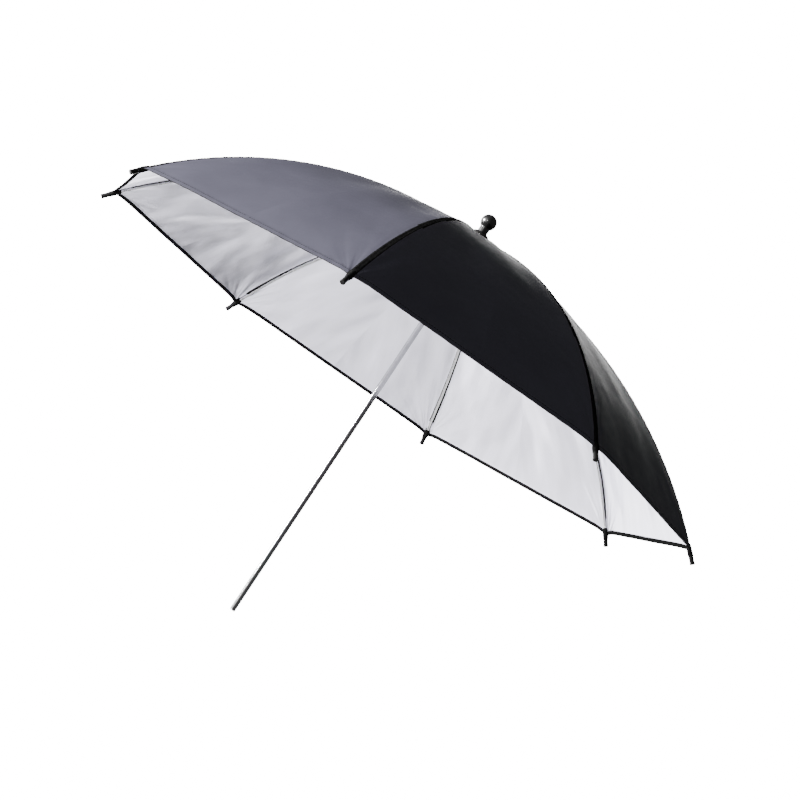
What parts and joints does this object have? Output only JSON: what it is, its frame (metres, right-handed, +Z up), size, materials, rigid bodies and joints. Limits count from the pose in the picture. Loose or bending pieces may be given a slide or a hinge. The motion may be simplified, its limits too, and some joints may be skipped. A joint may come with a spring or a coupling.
{
  "type": "umbrella reflector",
  "caption": "Folding photographic umbrella with a black outside and silver lining, arched channel ribs, stretchers, sliding runner and a slim tubular shaft.",
  "frame": {"origin": "centre of the shaft tube's lower end, where it goes into a light's umbrella clamp", "axes": "+Z up along the shaft to the crown; +X along rib 1; the other ribs follow every 45 degrees, anticlockwise seen from above"},
  "size_m": [0.8438, 0.8438, 0.5603],
  "materials": {
    "chromed_steel": "polished",
    "plated_ribs": "satin",
    "plated_fittings": "satin",
    "plated_pins": "satin",
    "black_plastic": "gloss",
    "canopy_cloth": "satin"
  },
  "bodies": {
    "shaft": {"shaft_tube": "chromed_steel", "shaft_end_plug": "plated_fittings", "runner_stop_pin": "plated_pins", "top_notch": "plated_fittings", "top_notch_wire": "plated_pins", "crown_pin": "plated_pins", "crown_cap": "black_plastic", "finial": "black_plastic", "catch_pin": "plated_pins"},
    "rib_1": {"rib_1": "plated_ribs", "rib_tip_1": "black_plastic", "stretcher_rivet_1": "plated_pins"},
    "stretcher_1": {"stretcher_1": "plated_ribs"},
    "rib_2": {"rib_2": "plated_ribs", "rib_tip_2": "black_plastic", "stretcher_rivet_2": "plated_pins"},
    "stretcher_2": {"stretcher_2": "plated_ribs"},
    "rib_3": {"rib_3": "plated_ribs", "rib_tip_3": "black_plastic", "stretcher_rivet_3": "plated_pins"},
    "stretcher_3": {"stretcher_3": "plated_ribs"},
    "rib_4": {"rib_4": "plated_ribs", "rib_tip_4": "black_plastic", "stretcher_rivet_4": "plated_pins"},
    "stretcher_4": {"stretcher_4": "plated_ribs"},
    "rib_5": {"rib_5": "plated_ribs", "rib_tip_5": "black_plastic", "stretcher_rivet_5": "plated_pins"},
    "stretcher_5": {"stretcher_5": "plated_ribs"},
    "rib_6": {"rib_6": "plated_ribs", "rib_tip_6": "black_plastic", "stretcher_rivet_6": "plated_pins"},
    "stretcher_6": {"stretcher_6": "plated_ribs"},
    "rib_7": {"rib_7": "plated_ribs", "rib_tip_7": "black_plastic", "stretcher_rivet_7": "plated_pins"},
    "stretcher_7": {"stretcher_7": "plated_ribs"},
    "rib_8": {"rib_8": "plated_ribs", "rib_tip_8": "black_plastic", "stretcher_rivet_8": "plated_pins"},
    "stretcher_8": {"stretcher_8": "plated_ribs"},
    "runner": {"runner": "plated_fittings", "runner_wire": "plated_pins"},
    "canopy_gore_1a": {"canopy_gore_1a": "canopy_cloth"},
    "canopy_gore_1b": {"canopy_gore_1b": "canopy_cloth"},
    "canopy_gore_2a": {"canopy_gore_2a": "canopy_cloth"},
    "canopy_gore_2b": {"canopy_gore_2b": "canopy_cloth"},
    "canopy_gore_3a": {"canopy_gore_3a": "canopy_cloth"},
    "canopy_gore_3b": {"canopy_gore_3b": "canopy_cloth"},
    "canopy_gore_4a": {"canopy_gore_4a": "canopy_cloth"},
    "canopy_gore_4b": {"canopy_gore_4b": "canopy_cloth"},
    "canopy_gore_5a": {"canopy_gore_5a": "canopy_cloth"},
    "canopy_gore_5b": {"canopy_gore_5b": "canopy_cloth"},
    "canopy_gore_6a": {"canopy_gore_6a": "canopy_cloth"},
    "canopy_gore_6b": {"canopy_gore_6b": "canopy_cloth"},
    "canopy_gore_7a": {"canopy_gore_7a": "canopy_cloth"},
    "canopy_gore_7b": {"canopy_gore_7b": "canopy_cloth"},
    "canopy_gore_8a": {"canopy_gore_8a": "canopy_cloth"},
    "canopy_gore_8b": {"canopy_gore_8b": "canopy_cloth"},
    "catch": {"catch_spring": "plated_pins"}
  },
  "joints": [
    {"name": "canopy_fold", "type": "hinge", "parent": "shaft", "child": "rib_1", "pos_m": [0.008, 0, 0.52114], "axis": [0, 1, 0], "range_deg": [0, 64], "deforming": ["canopy_gore_1a", "canopy_gore_1b", "canopy_gore_2a", "canopy_gore_2b", "canopy_gore_3a", "canopy_gore_3b", "canopy_gore_4a", "canopy_gore_4b", "canopy_gore_5a", "canopy_gore_5b", "canopy_gore_6a", "canopy_gore_6b", "canopy_gore_7a", "canopy_gore_7b", "canopy_gore_8a", "canopy_gore_8b", "catch_spring"]},
    {"name": "stretcher_1_swing", "type": "hinge", "parent": "rib_1", "child": "stretcher_1", "pos_m": [0.207, 0, 0.47887], "axis": [0, 1, 0], "range_deg": [-128, 0]},
    {"name": "rib_2_fold", "type": "hinge", "parent": "shaft", "child": "rib_2", "pos_m": [0.00566, 0.00566, 0.52114], "axis": [-0.7071, 0.7071, 0], "range_deg": [0, 64]},
    {"name": "stretcher_2_swing", "type": "hinge", "parent": "rib_2", "child": "stretcher_2", "pos_m": [0.14637, 0.14637, 0.47887], "axis": [-0.7071, 0.7071, 0], "range_deg": [-128, 0]},
    {"name": "rib_3_fold", "type": "hinge", "parent": "shaft", "child": "rib_3", "pos_m": [0, 0.008, 0.52114], "axis": [-1, 0, 0], "range_deg": [0, 64]},
    {"name": "stretcher_3_swing", "type": "hinge", "parent": "rib_3", "child": "stretcher_3", "pos_m": [0, 0.207, 0.47887], "axis": [-1, 0, 0], "range_deg": [-128, 0]},
    {"name": "rib_4_fold", "type": "hinge", "parent": "shaft", "child": "rib_4", "pos_m": [-0.00566, 0.00566, 0.52114], "axis": [-0.7071, -0.7071, 0], "range_deg": [0, 64]},
    {"name": "stretcher_4_swing", "type": "hinge", "parent": "rib_4", "child": "stretcher_4", "pos_m": [-0.14637, 0.14637, 0.47887], "axis": [-0.7071, -0.7071, 0], "range_deg": [-128, 0]},
    {"name": "rib_5_fold", "type": "hinge", "parent": "shaft", "child": "rib_5", "pos_m": [-0.008, 0, 0.52114], "axis": [0, -1, 0], "range_deg": [0, 64]},
    {"name": "stretcher_5_swing", "type": "hinge", "parent": "rib_5", "child": "stretcher_5", "pos_m": [-0.207, 0, 0.47887], "axis": [0, -1, 0], "range_deg": [-128, 0]},
    {"name": "rib_6_fold", "type": "hinge", "parent": "shaft", "child": "rib_6", "pos_m": [-0.00566, -0.00566, 0.52114], "axis": [0.7071, -0.7071, 0], "range_deg": [0, 64]},
    {"name": "stretcher_6_swing", "type": "hinge", "parent": "rib_6", "child": "stretcher_6", "pos_m": [-0.14637, -0.14637, 0.47887], "axis": [0.7071, -0.7071, 0], "range_deg": [-128, 0]},
    {"name": "rib_7_fold", "type": "hinge", "parent": "shaft", "child": "rib_7", "pos_m": [0, -0.008, 0.52114], "axis": [1, 0, 0], "range_deg": [0, 64]},
    {"name": "stretcher_7_swing", "type": "hinge", "parent": "rib_7", "child": "stretcher_7", "pos_m": [0, -0.207, 0.47887], "axis": [1, 0, 0], "range_deg": [-128, 0]},
    {"name": "rib_8_fold", "type": "hinge", "parent": "shaft", "child": "rib_8", "pos_m": [0.00566, -0.00566, 0.52114], "axis": [0.7071, 0.7071, 0], "range_deg": [0, 64]},
    {"name": "stretcher_8_swing", "type": "hinge", "parent": "rib_8", "child": "stretcher_8", "pos_m": [0.14637, -0.14637, 0.47887], "axis": [0.7071, 0.7071, 0], "range_deg": [-128, 0]},
    {"name": "runner_travel", "type": "hinge", "parent": "stretcher_1", "child": "runner", "pos_m": [0.008, 0, 0.43661], "axis": [0, 1, 0], "range_deg": [0, 64]},
    {"name": "gore_1a_pleat", "type": "hinge", "parent": "rib_1", "child": "canopy_gore_1a", "pos_m": [-0.08293, -0.13562, 0.46432], "axis": [-0.5181, -0.7916, -0.3238], "range_deg": [0, 27.74]},
    {"name": "gore_1b_pleat", "type": "hinge", "parent": "rib_2", "child": "canopy_gore_1b", "pos_m": [-0.15454, 0.03725, 0.46432], "axis": [0.9262, -0.1934, 0.3238], "range_deg": [0, 27.74]},
    {"name": "gore_2a_pleat", "type": "hinge", "parent": "rib_2", "child": "canopy_gore_2a", "pos_m": [0.03725, -0.15454, 0.46432], "axis": [0.1934, -0.9262, -0.3238], "range_deg": [0, 27.74]},
    {"name": "gore_2b_pleat", "type": "hinge", "parent": "rib_3", "child": "canopy_gore_2b", "pos_m": [-0.13562, -0.08293, 0.46432], "axis": [0.7916, 0.5181, 0.3238], "range_deg": [0, 27.74]},
    {"name": "gore_3a_pleat", "type": "hinge", "parent": "rib_3", "child": "canopy_gore_3a", "pos_m": [0.13562, -0.08293, 0.46432], "axis": [0.7916, -0.5181, -0.3238], "range_deg": [0, 27.74]},
    {"name": "gore_3b_pleat", "type": "hinge", "parent": "rib_4", "child": "canopy_gore_3b", "pos_m": [-0.03725, -0.15454, 0.46432], "axis": [0.1934, 0.9262, 0.3238], "range_deg": [0, 27.74]},
    {"name": "gore_4a_pleat", "type": "hinge", "parent": "rib_4", "child": "canopy_gore_4a", "pos_m": [0.15454, 0.03725, 0.46432], "axis": [0.9262, 0.1934, -0.3238], "range_deg": [0, 27.74]},
    {"name": "gore_4b_pleat", "type": "hinge", "parent": "rib_5", "child": "canopy_gore_4b", "pos_m": [0.08293, -0.13562, 0.46432], "axis": [-0.5181, 0.7916, 0.3238], "range_deg": [0, 27.74]},
    {"name": "gore_5a_pleat", "type": "hinge", "parent": "rib_5", "child": "canopy_gore_5a", "pos_m": [0.08293, 0.13562, 0.46432], "axis": [0.5181, 0.7916, -0.3238], "range_deg": [0, 27.74]},
    {"name": "gore_5b_pleat", "type": "hinge", "parent": "rib_6", "child": "canopy_gore_5b", "pos_m": [0.15454, -0.03725, 0.46432], "axis": [-0.9262, 0.1934, 0.3238], "range_deg": [0, 27.74]},
    {"name": "gore_6a_pleat", "type": "hinge", "parent": "rib_6", "child": "canopy_gore_6a", "pos_m": [-0.03725, 0.15454, 0.46432], "axis": [-0.1934, 0.9262, -0.3238], "range_deg": [0, 27.74]},
    {"name": "gore_6b_pleat", "type": "hinge", "parent": "rib_7", "child": "canopy_gore_6b", "pos_m": [0.13562, 0.08293, 0.46432], "axis": [-0.7916, -0.5181, 0.3238], "range_deg": [0, 27.74]},
    {"name": "gore_7a_pleat", "type": "hinge", "parent": "rib_7", "child": "canopy_gore_7a", "pos_m": [-0.13562, 0.08293, 0.46432], "axis": [-0.7916, 0.5181, -0.3238], "range_deg": [0, 27.74]},
    {"name": "gore_7b_pleat", "type": "hinge", "parent": "rib_8", "child": "canopy_gore_7b", "pos_m": [0.03725, 0.15454, 0.46432], "axis": [-0.1934, -0.9262, 0.3238], "range_deg": [0, 27.74]},
    {"name": "gore_8a_pleat", "type": "hinge", "parent": "rib_8", "child": "canopy_gore_8a", "pos_m": [-0.15454, -0.03725, 0.46432], "axis": [-0.9262, -0.1934, -0.3238], "range_deg": [0, 27.74]},
    {"name": "gore_8b_pleat", "type": "hinge", "parent": "rib_1", "child": "canopy_gore_8b", "pos_m": [-0.08293, 0.13562, 0.46432], "axis": [0.5181, -0.7916, 0.3238], "range_deg": [0, 27.74]},
    {"name": "catch_press", "type": "hinge", "parent": "shaft", "child": "catch", "pos_m": [0, 0, 0.39861], "axis": [0, -1, 0], "range_deg": [0, 5], "stiffness_Nm_per_rad": 0.02}
  ],
  "couplings": [
    {"joint": "stretcher_1_swing", "follows": "canopy_fold", "ratio": -2},
    {"joint": "rib_2_fold", "follows": "canopy_fold", "ratio": 1},
    {"joint": "stretcher_2_swing", "follows": "canopy_fold", "ratio": -2},
    {"joint": "rib_3_fold", "follows": "canopy_fold", "ratio": 1},
    {"joint": "stretcher_3_swing", "follows": "canopy_fold", "ratio": -2},
    {"joint": "rib_4_fold", "follows": "canopy_fold", "ratio": 1},
    {"joint": "stretcher_4_swing", "follows": "canopy_fold", "ratio": -2},
    {"joint": "rib_5_fold", "follows": "canopy_fold", "ratio": 1},
    {"joint": "stretcher_5_swing", "follows": "canopy_fold", "ratio": -2},
    {"joint": "rib_6_fold", "follows": "canopy_fold", "ratio": 1},
    {"joint": "stretcher_6_swing", "follows": "canopy_fold", "ratio": -2},
    {"joint": "rib_7_fold", "follows": "canopy_fold", "ratio": 1},
    {"joint": "stretcher_7_swing", "follows": "canopy_fold", "ratio": -2},
    {"joint": "rib_8_fold", "follows": "canopy_fold", "ratio": 1},
    {"joint": "stretcher_8_swing", "follows": "canopy_fold", "ratio": -2},
    {"joint": "runner_travel", "follows": "canopy_fold", "ratio": 1},
    {"joint": "gore_1a_pleat", "follows": "canopy_fold", "ratio": 0.43339},
    {"joint": "gore_1b_pleat", "follows": "canopy_fold", "ratio": 0.43339},
    {"joint": "gore_2a_pleat", "follows": "canopy_fold", "ratio": 0.43339},
    {"joint": "gore_2b_pleat", "follows": "canopy_fold", "ratio": 0.43339},
    {"joint": "gore_3a_pleat", "follows": "canopy_fold", "ratio": 0.43339},
    {"joint": "gore_3b_pleat", "follows": "canopy_fold", "ratio": 0.43339},
    {"joint": "gore_4a_pleat", "follows": "canopy_fold", "ratio": 0.43339},
    {"joint": "gore_4b_pleat", "follows": "canopy_fold", "ratio": 0.43339},
    {"joint": "gore_5a_pleat", "follows": "canopy_fold", "ratio": 0.43339},
    {"joint": "gore_5b_pleat", "follows": "canopy_fold", "ratio": 0.43339},
    {"joint": "gore_6a_pleat", "follows": "canopy_fold", "ratio": 0.43339},
    {"joint": "gore_6b_pleat", "follows": "canopy_fold", "ratio": 0.43339},
    {"joint": "gore_7a_pleat", "follows": "canopy_fold", "ratio": 0.43339},
    {"joint": "gore_7b_pleat", "follows": "canopy_fold", "ratio": 0.43339},
    {"joint": "gore_8a_pleat", "follows": "canopy_fold", "ratio": 0.43339},
    {"joint": "gore_8b_pleat", "follows": "canopy_fold", "ratio": 0.43339}
  ]
}
